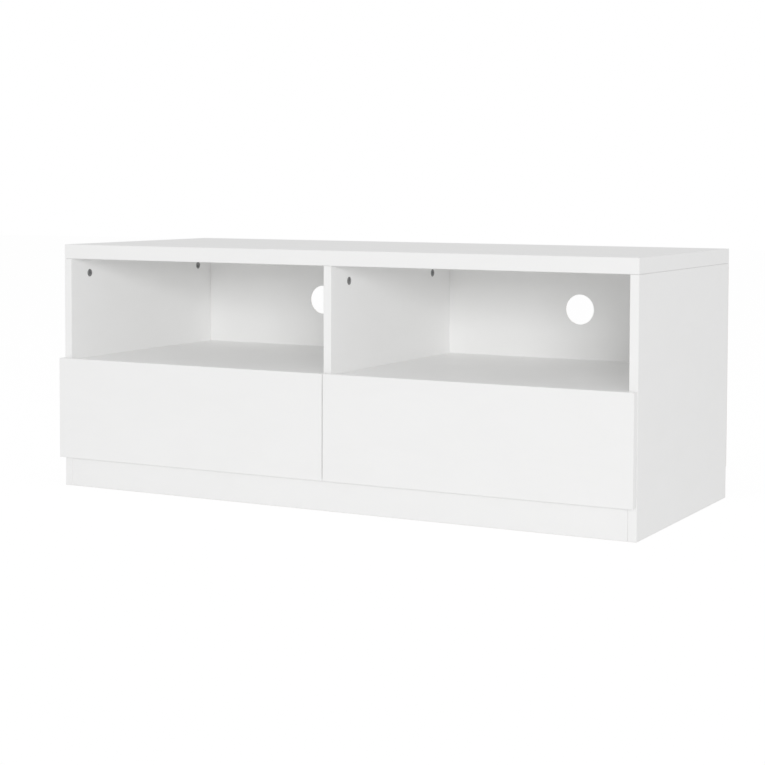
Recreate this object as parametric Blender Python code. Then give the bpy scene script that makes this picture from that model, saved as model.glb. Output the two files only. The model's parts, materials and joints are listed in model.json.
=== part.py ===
# Low white television stand: two open compartments over two drop-down doors.
# Metres, +Z up, +X to the right of the stand, doors on the -Y side, floor at Z = 0.

import math

import bmesh
import bpy
from mathutils import Vector

# Driving dimensions of the carcass.
WIDTH = 1.200
HEIGHT = 0.480
CARCASS_DEPTH = 0.500
BOARD = 0.016
TOP_BOARD = 0.028
BACK_BOARD = 0.003
PLINTH_HEIGHT = 0.060
PLINTH_REAR_INSET = 0.030
SHELF_TOP = 0.2525
EDGE_ROUND = 0.0006
SEAT_GAP = 0.0003
CABLE_HOLE_RADIUS = 0.030

# Driving dimensions of the doors.
DOOR_BOARD = 0.016
DOOR_STAND_OFF = 0.003
DOOR_DROP = 0.0015
DOOR_LIP = 0.003
DOOR_MIDDLE_GAP = 0.0025

# Cam fittings that hold the top on the uprights.
CAM_RADIUS = 0.0075
CAM_FLOOR = 0.0012
CAM_DROP = 0.0305
CAM_SIDE_FRONT_INSET = 0.060
CAM_SIDE_REAR_INSET = 0.052
CAM_DIVIDER_FRONT_INSET = 0.068
CAM_DIVIDER_REAR_INSET = 0.084
CAM_RECESS_ARM = 0.0042
CAM_RECESS_WIDTH = 0.0016
CAM_RECESS_DEPTH = 0.0022
BOLT_HEAD_RADIUS = 0.0027
BOLT_NECK_RADIUS = 0.0016
BOLT_SHANK_RADIUS = 0.0034
BOLT_THREAD_RADIUS = 0.0025
BOLT_THREAD_LENGTH = 0.011
BOLT_HEAD_LENGTH = 0.003
BOLT_SHANK_LENGTH = 0.010
BOLT_HEAD_REACH = 0.0255
BOLT_CLEARANCE = 0.0005

# Cup hinges at the foot of each door.
HINGE_INSET = 0.095
CUP_RADIUS = 0.0175
CUP_EDGE = 0.003
CUP_DEPTH = 0.0124
CUP_WALL = 0.0015
CUP_PLATE_WIDTH = 0.054
CUP_PLATE_HEIGHT = 0.020
CUP_PLATE_THICK = 0.0010
ARM_WIDTH = 0.008
ARM_THICK = 0.002
ARM_LENGTH = 0.046
EYE_RADIUS = 0.0022
EYE_CLEARANCE = 0.0002
PIN_RADIUS = 0.0010
PIN_LENGTH = 0.0206
PIN_CLEARANCE = 0.0002
MOUNT_WIDTH = 0.034
MOUNT_LENGTH = 0.040
MOUNT_THICK = 0.002
MOUNT_FRONT_GAP = 0.004

# Sliding stay that carries each open door.
STAY_PIN_RISE = 0.1055
STAY_PIN_REACH = 0.015
STAY_GUIDE_ANGLE = math.radians(62.0)
STAY_LINE = 0.010
STAY_ROD_RADIUS = 0.0025
STAY_EYE_RADIUS = 0.005
STAY_EYE_THICK = 0.003
STAY_STOP_RADIUS = 0.004
STAY_STOP_LENGTH = 0.004
STAY_GUIDE_SIZE = 0.014
STAY_GUIDE_BORE_CLEARANCE = 0.0003
STAY_PIVOT_RADIUS = 0.0025
STAY_PIVOT_DEPTH = 0.0033
STAY_BASE_THICK = 0.002
STAY_BASE_SIZE = 0.026
STAY_BRACKET_THICK = 0.002
STAY_BRACKET_WIDTH = 0.020
STAY_BRACKET_HEIGHT = 0.024
STAY_BRACKET_PIN_RADIUS = 0.002
STAY_PIN_CLEARANCE = 0.0002
STAY_PIN_END = 0.001
DOOR_OPENING = math.radians(90.0)

# Touch latch under each shelf and its strike on the door.
LATCH_WIDTH = 0.014
LATCH_HEIGHT = 0.012
LATCH_LENGTH = 0.050
LATCH_FRONT_GAP = 0.003
LATCH_BORE_LENGTH = 0.034
PLUNGER_RADIUS = 0.003
PLUNGER_LENGTH = 0.030
PLUNGER_CLEARANCE = 0.0003
STRIKE_RADIUS = 0.008
STRIKE_THICK = 0.0012

# Places worked out from the dimensions above.
OVERALL_DEPTH = CARCASS_DEPTH + DOOR_STAND_OFF + DOOR_BOARD
Y_FRONT = DOOR_STAND_OFF + DOOR_BOARD - OVERALL_DEPTH / 2
Y_BACK = Y_FRONT + CARCASS_DEPTH
Y_BOARD_BACK = Y_BACK - BACK_BOARD - SEAT_GAP
X_SIDE_INNER = WIDTH / 2 - BOARD
X_DIVIDER = BOARD / 2
Z_TOP_UNDER = HEIGHT - TOP_BOARD
Z_BOTTOM = PLINTH_HEIGHT + SEAT_GAP
Z_FLOOR = Z_BOTTOM + BOARD
Z_SHELF_UNDER = SHELF_TOP - BOARD
Z_DOOR_BOTTOM = PLINTH_HEIGHT - DOOR_DROP
Z_DOOR_TOP = SHELF_TOP + DOOR_LIP
Y_DOOR_INNER = Y_FRONT - DOOR_STAND_OFF
Z_CAM = Z_TOP_UNDER - CAM_DROP
CAM_DEPTH = BOARD / 2 + BOLT_HEAD_RADIUS + BOLT_CLEARANCE + CAM_FLOOR

# The hinge pin lies low and deep in the cup, where the arm's eye just clears its wall and floor.
CUP_HOLLOW_RADIUS = CUP_RADIUS - CUP_WALL
Z_CUP = Z_DOOR_BOTTOM + CUP_EDGE + CUP_RADIUS
EYE_DROP = math.sqrt(CUP_HOLLOW_RADIUS**2 - (ARM_WIDTH / 2) ** 2) - EYE_RADIUS - EYE_CLEARANCE
Z_AXIS = Z_CUP - EYE_DROP
Y_AXIS = Y_DOOR_INNER - (CUP_DEPTH - CUP_WALL - EYE_RADIUS - EYE_CLEARANCE)
X_BAY_MIDDLE = (X_DIVIDER + X_SIDE_INNER) / 2

CUT_OVERSHOOT = 0.001
ROUND_STEPS = 32
SMALL_STEPS = 20
CABLE_HOLE_STEPS = 48


def clear_scene():
    for old in list(bpy.data.objects):
        bpy.data.objects.remove(old, do_unlink=True)


def make_material(name, colour, roughness, metallic):
    material = bpy.data.materials.new(name)
    material.use_nodes = True
    shader = material.node_tree.nodes["Principled BSDF"]
    shader.inputs["Base Color"].default_value = (*colour, 1.0)
    shader.inputs["Roughness"].default_value = roughness
    shader.inputs["Metallic"].default_value = metallic
    return material


def add_object(name, bm, origin, look, parent=None, smooth=False):
    bmesh.ops.recalc_face_normals(bm, faces=bm.faces[:])
    mesh = bpy.data.meshes.new(name)
    bm.to_mesh(mesh)
    bm.free()
    if look is not None:
        mesh.materials.append(make_material(name, *look))
    if smooth:
        mesh.shade_smooth()
        mesh.set_sharp_from_angle(angle=math.radians(35))
    obj = bpy.data.objects.new(name, mesh)
    bpy.context.scene.collection.objects.link(obj)
    obj.location = Vector(origin)
    if parent is not None:
        obj.parent = parent
        obj.location = Vector(origin) - parent.location
    return obj


def add_empty(name, origin):
    empty = bpy.data.objects.new(name, None)
    bpy.context.scene.collection.objects.link(empty)
    empty.location = Vector(origin)
    return empty


# A board between two opposite corners, its edges lightly rounded.
def add_board(name, low, high, look, parent=None, edge=EDGE_ROUND):
    low = Vector(low)
    high = Vector(high)
    size = high - low
    bm = bmesh.new()
    bmesh.ops.create_cube(bm, size=1.0)
    bmesh.ops.scale(bm, vec=size, verts=bm.verts[:])
    obj = add_object(name, bm, (low + high) / 2, look, parent)
    bevel = obj.modifiers.new("edges", "BEVEL")
    bevel.width = edge
    bevel.segments = 1
    return obj


# A flat outline pushed along one axis. Outline points are (y, z), (x, z) or (x, y) by the axis.
def add_prism(name, outline, axis, low, high, origin, look, parent=None, smooth=False):
    spots = {
        "X": lambda a, b: (low, a, b),
        "Y": lambda a, b: (a, low, b),
        "Z": lambda a, b: (a, b, low),
    }
    push = {"X": (high - low, 0, 0), "Y": (0, high - low, 0), "Z": (0, 0, high - low)}
    bm = bmesh.new()
    face = bm.faces.new([bm.verts.new(spots[axis](a, b)) for a, b in outline])
    grown = bmesh.ops.extrude_face_region(bm, geom=[face])
    moved = [item for item in grown["geom"] if isinstance(item, bmesh.types.BMVert)]
    bmesh.ops.translate(bm, vec=push[axis], verts=moved)
    return add_object(name, bm, origin, look, parent, smooth)


def circle(radius, steps=ROUND_STEPS):
    turns = [2 * math.pi * (index + 0.5) / steps for index in range(steps)]
    return [(radius * math.cos(turn), radius * math.sin(turn)) for turn in turns]


def rectangle(low_a, high_a, low_b, high_b):
    return [(low_a, low_b), (high_a, low_b), (high_a, high_b), (low_a, high_b)]


# A profile of (radius, z) points turned about Z.
def add_turned(name, profile, origin, look, parent=None, steps=SMALL_STEPS):
    bm = bmesh.new()
    points = [bm.verts.new((radius, 0, z)) for radius, z in profile]
    edges = [bm.edges.new(pair) for pair in zip(points, points[1:])]
    bmesh.ops.spin(
        bm,
        geom=points + edges,
        cent=(0, 0, 0),
        axis=(0, 0, 1),
        angle=2 * math.pi,
        steps=steps,
        use_merge=True,
    )
    bmesh.ops.remove_doubles(bm, verts=bm.verts[:], dist=0.00001)
    return add_object(name, bm, origin, look, parent, smooth=True)


# Adds or takes away a prism that rides on the target, at a world point or at the target's origin.
def shape(target, name, outline, axis, low, high, point=None, operation="DIFFERENCE"):
    tool = add_prism(name, outline, axis, low, high, (0, 0, 0), None)
    tool.parent = target
    if point is not None:
        carried = target.parent.location if target.parent else Vector((0, 0, 0))
        tool.location = Vector(point) - target.location - carried
    tool.hide_render = True
    tool.display_type = "WIRE"
    modifier = target.modifiers.new(name, "BOOLEAN")
    modifier.operation = operation
    modifier.solver = "EXACT"
    modifier.object = tool


WHITE_BOARD = ((0.84, 0.84, 0.83), 0.35, 0.0)
WHITE_BACK = ((0.80, 0.80, 0.79), 0.50, 0.0)
DARK_ZINC = ((0.10, 0.10, 0.11), 0.45, 0.8)
BRIGHT_STEEL = ((0.62, 0.62, 0.64), 0.30, 1.0)
NICKEL = ((0.68, 0.67, 0.65), 0.25, 1.0)
GREY_PLASTIC = ((0.45, 0.46, 0.48), 0.50, 0.0)
WHITE_PLASTIC = ((0.80, 0.80, 0.80), 0.45, 0.0)


# The boards of the carcass.
def build_carcass():
    half = WIDTH / 2
    top = add_board(
        "top_panel", (-half, Y_FRONT, Z_TOP_UNDER), (half, Y_BACK, HEIGHT), WHITE_BOARD
    )
    upright_top = Z_TOP_UNDER - SEAT_GAP
    uprights = {}
    for label, side in (("left", -1), ("right", 1)):
        inner = side * X_SIDE_INNER
        outer = side * half
        uprights[label] = add_board(
            f"side_panel_{label}",
            (min(inner, outer), Y_FRONT, 0),
            (max(inner, outer), Y_BOARD_BACK, upright_top),
            WHITE_BOARD,
        )
    uprights["divider"] = add_board(
        "divider_panel",
        (-X_DIVIDER, Y_FRONT, Z_FLOOR + SEAT_GAP),
        (X_DIVIDER, Y_BOARD_BACK, upright_top),
        WHITE_BOARD,
    )
    span = X_SIDE_INNER - SEAT_GAP
    add_board(
        "bottom_panel", (-span, Y_FRONT, Z_BOTTOM), (span, Y_BOARD_BACK, Z_FLOOR), WHITE_BOARD
    )
    plinth_rear = Y_BACK - PLINTH_REAR_INSET
    plinth_places = (("plinth_front", Y_FRONT), ("plinth_rear", plinth_rear - BOARD))
    for name, y in plinth_places:
        add_board(name, (-span, y, 0), (span, y + BOARD, PLINTH_HEIGHT), WHITE_BOARD)
    add_board(
        "plinth_brace",
        (-X_DIVIDER, Y_FRONT + BOARD + SEAT_GAP, 0),
        (X_DIVIDER, plinth_rear - BOARD - SEAT_GAP, PLINTH_HEIGHT),
        WHITE_BOARD,
    )
    return top, uprights


# A shelf and a thin back panel for each half, with the cable hole at the open compartment's middle.
def build_bay(label, side):
    near = X_DIVIDER + SEAT_GAP
    far = X_SIDE_INNER - SEAT_GAP
    low_x, high_x = sorted((side * near, side * far))
    add_board(
        f"shelf_{label}",
        (low_x, Y_FRONT, Z_SHELF_UNDER),
        (high_x, Y_BOARD_BACK, SHELF_TOP),
        WHITE_BOARD,
    )
    low_x, high_x = sorted((side * SEAT_GAP, side * (WIDTH / 2 - SEAT_GAP)))
    back = add_board(
        f"back_panel_{label}",
        (low_x, Y_BACK - BACK_BOARD, Z_BOTTOM),
        (high_x, Y_BACK, Z_TOP_UNDER - SEAT_GAP),
        WHITE_BACK,
        edge=BACK_BOARD / 10,
    )
    hole_x = side * X_BAY_MIDDLE
    hole_z = (SHELF_TOP + Z_TOP_UNDER) / 2
    shape(
        back,
        f"cut_cable_{label}",
        circle(CABLE_HOLE_RADIUS, CABLE_HOLE_STEPS),
        "Y",
        -BACK_BOARD,
        BACK_BOARD,
        (hole_x, Y_BACK - BACK_BOARD / 2, hole_z),
    )


# The slots of a cam lock's cross recess.
def cross(arm, half_width):
    points = []
    for turn in range(4):
        angle = turn * math.pi / 2
        for along, across in ((half_width, -half_width), (arm, -half_width), (arm, half_width)):
            y = along * math.cos(angle) - across * math.sin(angle)
            z = along * math.sin(angle) + across * math.cos(angle)
            points.append((y, z))
    return points


# A cam lock in an upright and the bolt, screwed into the top, that it grips.
# into is -1 or 1, the way from the upright's open face into the board.
def build_cam(name, top, upright, face_x, into, y):
    centre = (face_x, y, Z_CAM)
    middle_x = face_x + into * BOARD / 2
    low, high = sorted((-into * CUT_OVERSHOOT, into * (CAM_DEPTH + SEAT_GAP)))
    pocket = circle(CAM_RADIUS + SEAT_GAP)
    shape(upright, f"cut_pocket_{name}", pocket, "X", low, high, centre)
    low, high = sorted((0, into * CAM_DEPTH))
    disc = circle(CAM_RADIUS)
    cam = add_prism(f"cam_lock_{name}", disc, "X", low, high, centre, DARK_ZINC, smooth=True)
    low, high = sorted((-into * CUT_OVERSHOOT, into * CAM_RECESS_DEPTH))
    recess = cross(CAM_RECESS_ARM, CAM_RECESS_WIDTH / 2)
    shape(cam, f"cut_recess_{name}", recess, "X", low, high, centre)
    half = BOLT_HEAD_RADIUS + BOLT_CLEARANCE
    slot = rectangle(-half, half, -half, half)
    slot_low = CAM_DROP - BOLT_HEAD_REACH - BOLT_CLEARANCE
    shape(
        cam,
        f"cut_slot_{name}",
        slot,
        "Z",
        slot_low,
        CAM_RADIUS + CUT_OVERSHOOT,
        (middle_x, y, Z_CAM),
    )

    seat = (middle_x, y, Z_TOP_UNDER)
    bore = circle(BOLT_SHANK_RADIUS + BOLT_CLEARANCE, SMALL_STEPS)
    bore_low = CAM_RADIUS / 2 - CAM_DROP
    shape(upright, f"cut_bolt_{name}", bore, "Z", bore_low, CUT_OVERSHOOT, seat)
    bore = circle(BOLT_THREAD_RADIUS + SEAT_GAP, SMALL_STEPS)
    bore_high = BOLT_THREAD_LENGTH + SEAT_GAP
    shape(top, f"cut_thread_{name}", bore, "Z", -CUT_OVERSHOOT, bore_high, seat)
    head_top = BOLT_HEAD_LENGTH - BOLT_HEAD_REACH
    profile = [
        (0, BOLT_THREAD_LENGTH),
        (BOLT_THREAD_RADIUS, BOLT_THREAD_LENGTH),
        (BOLT_THREAD_RADIUS, -SEAT_GAP),
        (BOLT_SHANK_RADIUS, -SEAT_GAP),
        (BOLT_SHANK_RADIUS, -BOLT_SHANK_LENGTH),
        (BOLT_NECK_RADIUS, -BOLT_SHANK_LENGTH),
        (BOLT_NECK_RADIUS, head_top),
        (BOLT_HEAD_RADIUS, head_top),
        (BOLT_HEAD_RADIUS, -BOLT_HEAD_REACH),
        (0, -BOLT_HEAD_REACH),
    ]
    add_turned(f"cam_bolt_{name}", profile, seat, BRIGHT_STEEL)


def build_cams(top, uprights):
    side_insets = (CAM_SIDE_FRONT_INSET, CAM_SIDE_REAR_INSET)
    divider_insets = (CAM_DIVIDER_FRONT_INSET, CAM_DIVIDER_REAR_INSET)
    faces = (
        ("left", -X_SIDE_INNER, -1, side_insets),
        ("divider", X_DIVIDER, -1, divider_insets),
        ("right", X_SIDE_INNER, 1, side_insets),
    )
    for label, face_x, into, (front, rear) in faces:
        for row, y in (("front", Y_FRONT + front), ("rear", Y_BACK - rear)):
            build_cam(f"{label}_{row}", top, uprights[label], face_x, into, y)


# The arm's side outline: an eye round the pin, a neck up out of the cup and a flat foot.
def arm_outline():
    half = ARM_THICK / 2
    under = Z_FLOOR + MOUNT_THICK + 2 * SEAT_GAP - Z_AXIS
    end = Y_FRONT - Y_AXIS + ARM_LENGTH
    start = math.acos(half / EYE_RADIUS)
    sweep = math.pi + 2 * start
    steps = SMALL_STEPS - 4
    points = []
    for index in range(steps + 1):
        angle = start - sweep * index / steps
        points.append((EYE_RADIUS * math.cos(angle), EYE_RADIUS * math.sin(angle)))
    foot = [(-half, under + ARM_THICK), (end, under + ARM_THICK), (end, under), (half, under)]
    return points + foot


# One cup hinge: the cup and pin ride on the door, the arm and its mount stay on the bottom panel.
def build_hinge(name, door, axis, x):
    face = (x, Y_DOOR_INNER, Z_CUP)
    mortise = circle(CUP_RADIUS + SEAT_GAP)
    mortise_low = -CUP_DEPTH - SEAT_GAP
    shape(door, f"cut_mortise_{name}", mortise, "Y", mortise_low, CUT_OVERSHOOT, face)

    plate_top = SEAT_GAP + CUP_PLATE_THICK
    body = circle(CUP_RADIUS)
    cup = add_prism(
        f"hinge_cup_{name}", body, "Y", -CUP_DEPTH, plate_top, face, NICKEL, axis, smooth=True
    )
    half_x = CUP_PLATE_WIDTH / 2
    half_z = CUP_PLATE_HEIGHT / 2
    plate = rectangle(-half_x, half_x, -half_z, half_z)
    shape(cup, f"add_plate_{name}", plate, "Y", SEAT_GAP, plate_top, face, "UNION")
    hollow = circle(CUP_HOLLOW_RADIUS)
    floor = CUP_WALL - CUP_DEPTH
    shape(cup, f"cut_hollow_{name}", hollow, "Y", floor, plate_top + CUT_OVERSHOOT, face)
    spot = (x, Y_AXIS, Z_AXIS)
    ear = circle(PIN_RADIUS + PIN_CLEARANCE, SMALL_STEPS)
    shape(cup, f"cut_ear_{name}", ear, "X", -CUP_RADIUS, CUP_RADIUS, spot)

    half = PIN_LENGTH / 2
    rod = circle(PIN_RADIUS, SMALL_STEPS)
    add_prism(f"hinge_pin_{name}", rod, "X", -half, half, spot, BRIGHT_STEEL, axis, smooth=True)

    half = ARM_WIDTH / 2
    arm = add_prism(
        f"hinge_arm_{name}", arm_outline(), "X", -half, half, spot, NICKEL, smooth=True
    )
    shape(arm, f"cut_eye_{name}", ear, "X", -ARM_WIDTH, ARM_WIDTH)
    mount_front = Y_FRONT + MOUNT_FRONT_GAP
    add_board(
        f"hinge_mount_{name}",
        (x - MOUNT_WIDTH / 2, mount_front, Z_FLOOR + SEAT_GAP),
        (x + MOUNT_WIDTH / 2, mount_front + MOUNT_LENGTH, Z_FLOOR + SEAT_GAP + MOUNT_THICK),
        NICKEL,
        edge=MOUNT_THICK / 8,
    )


# The sliding stay of one door. Its pin on the door and its swivelling guide on the side panel
# stand equally far from the door's axis, so rod and guide turn half as far as the door does.
def build_stay(label, side, axis):
    def across(distance):
        return side * (X_SIDE_INNER - distance)

    pin_y = Y_DOOR_INNER + STAY_PIN_REACH
    pin_z = Z_AXIS + STAY_PIN_RISE
    radius = math.hypot(pin_y - Y_AXIS, STAY_PIN_RISE)
    guide_y = Y_AXIS + radius * math.cos(STAY_GUIDE_ANGLE)
    guide_z = Z_AXIS + radius * math.sin(STAY_GUIDE_ANGLE)
    tilt = math.atan2(guide_z - pin_z, guide_y - pin_y)
    apex = math.atan2(STAY_PIN_RISE, pin_y - Y_AXIS) - STAY_GUIDE_ANGLE
    open_reach = 2 * radius * math.sin((apex + DOOR_OPENING) / 2)
    line = across(STAY_LINE)

    stop = open_reach + STAY_GUIDE_SIZE / 2 + SEAT_GAP
    rod = add_prism(
        f"stay_rod_{label}",
        circle(STAY_ROD_RADIUS, SMALL_STEPS),
        "Y",
        STAY_EYE_RADIUS * 0.7,
        stop + STAY_STOP_LENGTH / 2,
        (line, pin_y, pin_z),
        BRIGHT_STEEL,
        axis,
        smooth=True,
    )
    rod.rotation_euler.x = tilt
    eye = circle(STAY_EYE_RADIUS, SMALL_STEPS)
    half = STAY_EYE_THICK / 2
    shape(rod, f"add_eye_{label}", eye, "X", -half, half, operation="UNION")
    knob = circle(STAY_STOP_RADIUS, SMALL_STEPS)
    knob_end = stop + STAY_STOP_LENGTH
    shape(rod, f"add_stop_{label}", knob, "Y", stop, knob_end, operation="UNION")
    hole = circle(STAY_BRACKET_PIN_RADIUS + STAY_PIN_CLEARANCE, SMALL_STEPS)
    shape(rod, f"cut_eye_hole_{label}", hole, "X", -STAY_EYE_THICK, STAY_EYE_THICK)

    half = STAY_GUIDE_SIZE / 2
    guide = add_prism(
        f"stay_guide_{label}",
        rectangle(-half, half, -half, half),
        "X",
        -half,
        half,
        (line, guide_y, guide_z),
        GREY_PLASTIC,
    )
    guide.rotation_euler.x = tilt
    bore = circle(STAY_ROD_RADIUS + STAY_GUIDE_BORE_CLEARANCE, SMALL_STEPS)
    shape(guide, f"cut_rod_{label}", bore, "Y", -STAY_GUIDE_SIZE, STAY_GUIDE_SIZE)
    socket = circle(STAY_PIVOT_RADIUS + STAY_PIN_CLEARANCE, SMALL_STEPS)
    low, high = sorted((side * (half - STAY_PIVOT_DEPTH), side * (half + CUT_OVERSHOOT)))
    shape(guide, f"cut_pivot_{label}", socket, "X", low, high)

    plate_top = SEAT_GAP + STAY_BASE_THICK
    low, high = sorted((across(SEAT_GAP), across(plate_top)))
    half_base = STAY_BASE_SIZE / 2
    base = add_prism(
        f"stay_base_{label}",
        rectangle(-half_base, half_base, -half_base, half_base),
        "X",
        low - line,
        high - line,
        (line, guide_y, guide_z),
        NICKEL,
    )
    pivot_end = STAY_LINE - half + STAY_PIVOT_DEPTH - SEAT_GAP
    low, high = sorted((across(plate_top / 2) - line, across(pivot_end) - line))
    stub = circle(STAY_PIVOT_RADIUS, SMALL_STEPS)
    shape(base, f"add_pivot_{label}", stub, "X", low, high, operation="UNION")

    near = STAY_LINE - half
    seat = Y_DOOR_INNER + SEAT_GAP
    corner = [
        (across(near), seat),
        (across(near + STAY_BRACKET_WIDTH), seat),
        (across(near + STAY_BRACKET_WIDTH), seat + STAY_BRACKET_THICK),
        (across(near + STAY_BRACKET_THICK), seat + STAY_BRACKET_THICK),
        (across(near + STAY_BRACKET_THICK), pin_y + STAY_EYE_RADIUS),
        (across(near), pin_y + STAY_EYE_RADIUS),
    ]
    outline = [(x - line, y - pin_y) for x, y in corner]
    half_height = STAY_BRACKET_HEIGHT / 2
    bracket = add_prism(
        f"stay_bracket_{label}",
        outline,
        "Z",
        -half_height,
        half_height,
        (line, pin_y, pin_z),
        NICKEL,
        axis,
    )
    pin_start = near + STAY_BRACKET_THICK / 2
    pin_end = STAY_LINE + STAY_EYE_THICK / 2 + STAY_PIN_END
    low, high = sorted((across(pin_start) - line, across(pin_end) - line))
    pin = circle(STAY_BRACKET_PIN_RADIUS, SMALL_STEPS)
    shape(bracket, f"add_pin_{label}", pin, "X", low, high, operation="UNION")


# The touch latch under the shelf, its sprung plunger and the strike plate on the door.
def build_latch(label, side, axis):
    x = side * X_BAY_MIDDLE
    top = Z_SHELF_UNDER - SEAT_GAP
    z = top - LATCH_HEIGHT / 2
    front = Y_FRONT + LATCH_FRONT_GAP
    housing = add_board(
        f"latch_housing_{label}",
        (x - LATCH_WIDTH / 2, front, top - LATCH_HEIGHT),
        (x + LATCH_WIDTH / 2, front + LATCH_LENGTH, top),
        WHITE_PLASTIC,
    )
    bore = circle(PLUNGER_RADIUS + PLUNGER_CLEARANCE, SMALL_STEPS)
    shape(
        housing,
        f"cut_plunger_{label}",
        bore,
        "Y",
        -CUT_OVERSHOOT,
        LATCH_BORE_LENGTH,
        (x, front, z),
    )
    strike_face = SEAT_GAP + STRIKE_THICK
    add_prism(
        f"latch_strike_{label}",
        circle(STRIKE_RADIUS),
        "Y",
        SEAT_GAP,
        strike_face,
        (x, Y_DOOR_INNER, z),
        BRIGHT_STEEL,
        axis,
        smooth=True,
    )
    tip = (x, Y_DOOR_INNER + strike_face + SEAT_GAP, z)
    shaft = circle(PLUNGER_RADIUS, SMALL_STEPS)
    add_prism(
        f"latch_plunger_{label}", shaft, "Y", 0, PLUNGER_LENGTH, tip, GREY_PLASTIC, smooth=True
    )


# A door with all that rides on it, hung from an empty on its hinge axis.
def build_door(label, side):
    axis = add_empty(f"door_axis_{label}", (side * X_BAY_MIDDLE, Y_AXIS, Z_AXIS))
    low_x, high_x = sorted((side * DOOR_MIDDLE_GAP / 2, side * WIDTH / 2))
    door = add_board(
        f"door_{label}",
        (low_x, Y_DOOR_INNER - DOOR_BOARD, Z_DOOR_BOTTOM),
        (high_x, Y_DOOR_INNER, Z_DOOR_TOP),
        WHITE_BOARD,
        axis,
    )
    places = (("inner", X_DIVIDER + HINGE_INSET), ("outer", X_SIDE_INNER - HINGE_INSET))
    for place, x in places:
        build_hinge(f"{label}_{place}", door, axis, side * x)
    build_stay(label, side, axis)
    build_latch(label, side, axis)


def build_stand():
    clear_scene()
    top, uprights = build_carcass()
    build_cams(top, uprights)
    for label, side in (("left", -1), ("right", 1)):
        build_bay(label, side)
        build_door(label, side)


build_stand()
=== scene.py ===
import json
import math

import bmesh
import bpy
from mathutils import Euler, Matrix, Vector


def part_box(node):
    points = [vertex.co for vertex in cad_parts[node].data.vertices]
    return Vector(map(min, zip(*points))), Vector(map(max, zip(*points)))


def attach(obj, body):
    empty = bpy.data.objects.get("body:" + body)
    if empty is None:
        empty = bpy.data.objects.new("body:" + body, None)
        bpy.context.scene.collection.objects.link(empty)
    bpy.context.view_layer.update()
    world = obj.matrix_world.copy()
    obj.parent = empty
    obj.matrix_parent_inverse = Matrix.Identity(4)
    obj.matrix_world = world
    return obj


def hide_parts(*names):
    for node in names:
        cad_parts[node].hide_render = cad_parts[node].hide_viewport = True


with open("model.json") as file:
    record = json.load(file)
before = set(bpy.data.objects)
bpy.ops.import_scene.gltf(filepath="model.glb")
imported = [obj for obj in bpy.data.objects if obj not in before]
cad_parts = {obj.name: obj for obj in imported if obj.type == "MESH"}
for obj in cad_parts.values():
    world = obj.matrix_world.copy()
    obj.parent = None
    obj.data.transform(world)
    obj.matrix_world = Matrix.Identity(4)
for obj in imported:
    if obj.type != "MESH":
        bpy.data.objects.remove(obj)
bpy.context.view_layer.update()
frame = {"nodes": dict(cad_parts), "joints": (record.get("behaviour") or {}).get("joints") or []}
print("frame loaded:", len(frame["nodes"]), "nodes")

turn = math.radians
sides = (("left", -1), ("right", 1))
joints = {joint["name"]: joint for joint in frame["joints"]}


def deselectAll():
    if bpy.context.mode != "OBJECT":
        bpy.ops.object.mode_set(mode="OBJECT")
    bpy.ops.object.select_all(action="DESELECT")


def pick(piece):
    deselectAll()
    piece.select_set(True)
    bpy.context.view_layer.objects.active = piece


def discard(*pieces):
    for piece in pieces:
        bpy.data.objects.remove(piece, do_unlink=True)


# places the object's numbers in its mesh, so that it sits at the origin
def settle(piece):
    pick(piece)
    bpy.ops.object.transform_apply(location=True, rotation=True, scale=True)


def addBox(low, high, name="box"):
    low, high = Vector(low), Vector(high)
    deselectAll()
    bpy.ops.mesh.primitive_cube_add(size=1, location=(low + high) / 2, scale=high - low)
    piece = bpy.context.active_object
    piece.name = name
    settle(piece)
    return piece


turns = {"X": (0, turn(90), 0), "Y": (turn(90), 0, 0), "Z": (0, 0, 0)}


def addRod(axis, centre, radius, length, name="rod", steps=48):
    deselectAll()
    bpy.ops.mesh.primitive_cylinder_add(
        vertices=steps, radius=radius, depth=length, location=centre, rotation=turns[axis]
    )
    piece = bpy.context.active_object
    piece.name = name
    settle(piece)
    return piece


# goes into edit mode with only the faces picked that the test likes
def editFaces(piece, likes):
    pick(piece)
    bpy.ops.object.mode_set(mode="EDIT")
    bpy.ops.mesh.select_mode(type="FACE")
    bpy.ops.mesh.select_all(action="DESELECT")
    mesh = bmesh.from_edit_mesh(piece.data)
    for face in mesh.faces:
        if likes(face.calc_center_median(), face.normal):
            face.select = True
    mesh.select_flush(True)
    bmesh.update_edit_mesh(piece.data)


# the same for edges, tested by their two ends
def editEdges(piece, likes):
    pick(piece)
    bpy.ops.object.mode_set(mode="EDIT")
    bpy.ops.mesh.select_mode(type="EDGE")
    bpy.ops.mesh.select_all(action="DESELECT")
    mesh = bmesh.from_edit_mesh(piece.data)
    for edge in mesh.edges:
        if likes(edge.verts[0].co, edge.verts[1].co):
            edge.select = True
    bmesh.update_edit_mesh(piece.data)


def roundAll(piece, width, steps):
    editFaces(piece, lambda centre, normal: True)
    bpy.ops.mesh.bevel(offset=width, segments=steps, affect="EDGES")
    deselectAll()


def inset(thickness, depth=0):
    bpy.ops.mesh.inset(thickness=thickness, depth=depth)


def extrude(way):
    bpy.ops.mesh.extrude_region_move(TRANSFORM_OT_translate={"value": way})


def useModifier(piece, kind, **settings):
    pick(piece)
    modifier = piece.modifiers.new(kind.lower(), kind)
    for key, value in settings.items():
        setattr(modifier, key, value)
    bpy.ops.object.modifier_apply(modifier=modifier.name)


def combine(piece, tool, operation="DIFFERENCE"):
    useModifier(piece, "BOOLEAN", operation=operation, solver="EXACT", object=tool)
    discard(tool)


def joinAll(pieces, name):
    deselectAll()
    for piece in pieces:
        piece.select_set(True)
    bpy.context.view_layer.objects.active = pieces[0]
    bpy.ops.object.join()
    joined = bpy.context.active_object
    joined.name = name
    return joined


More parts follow.
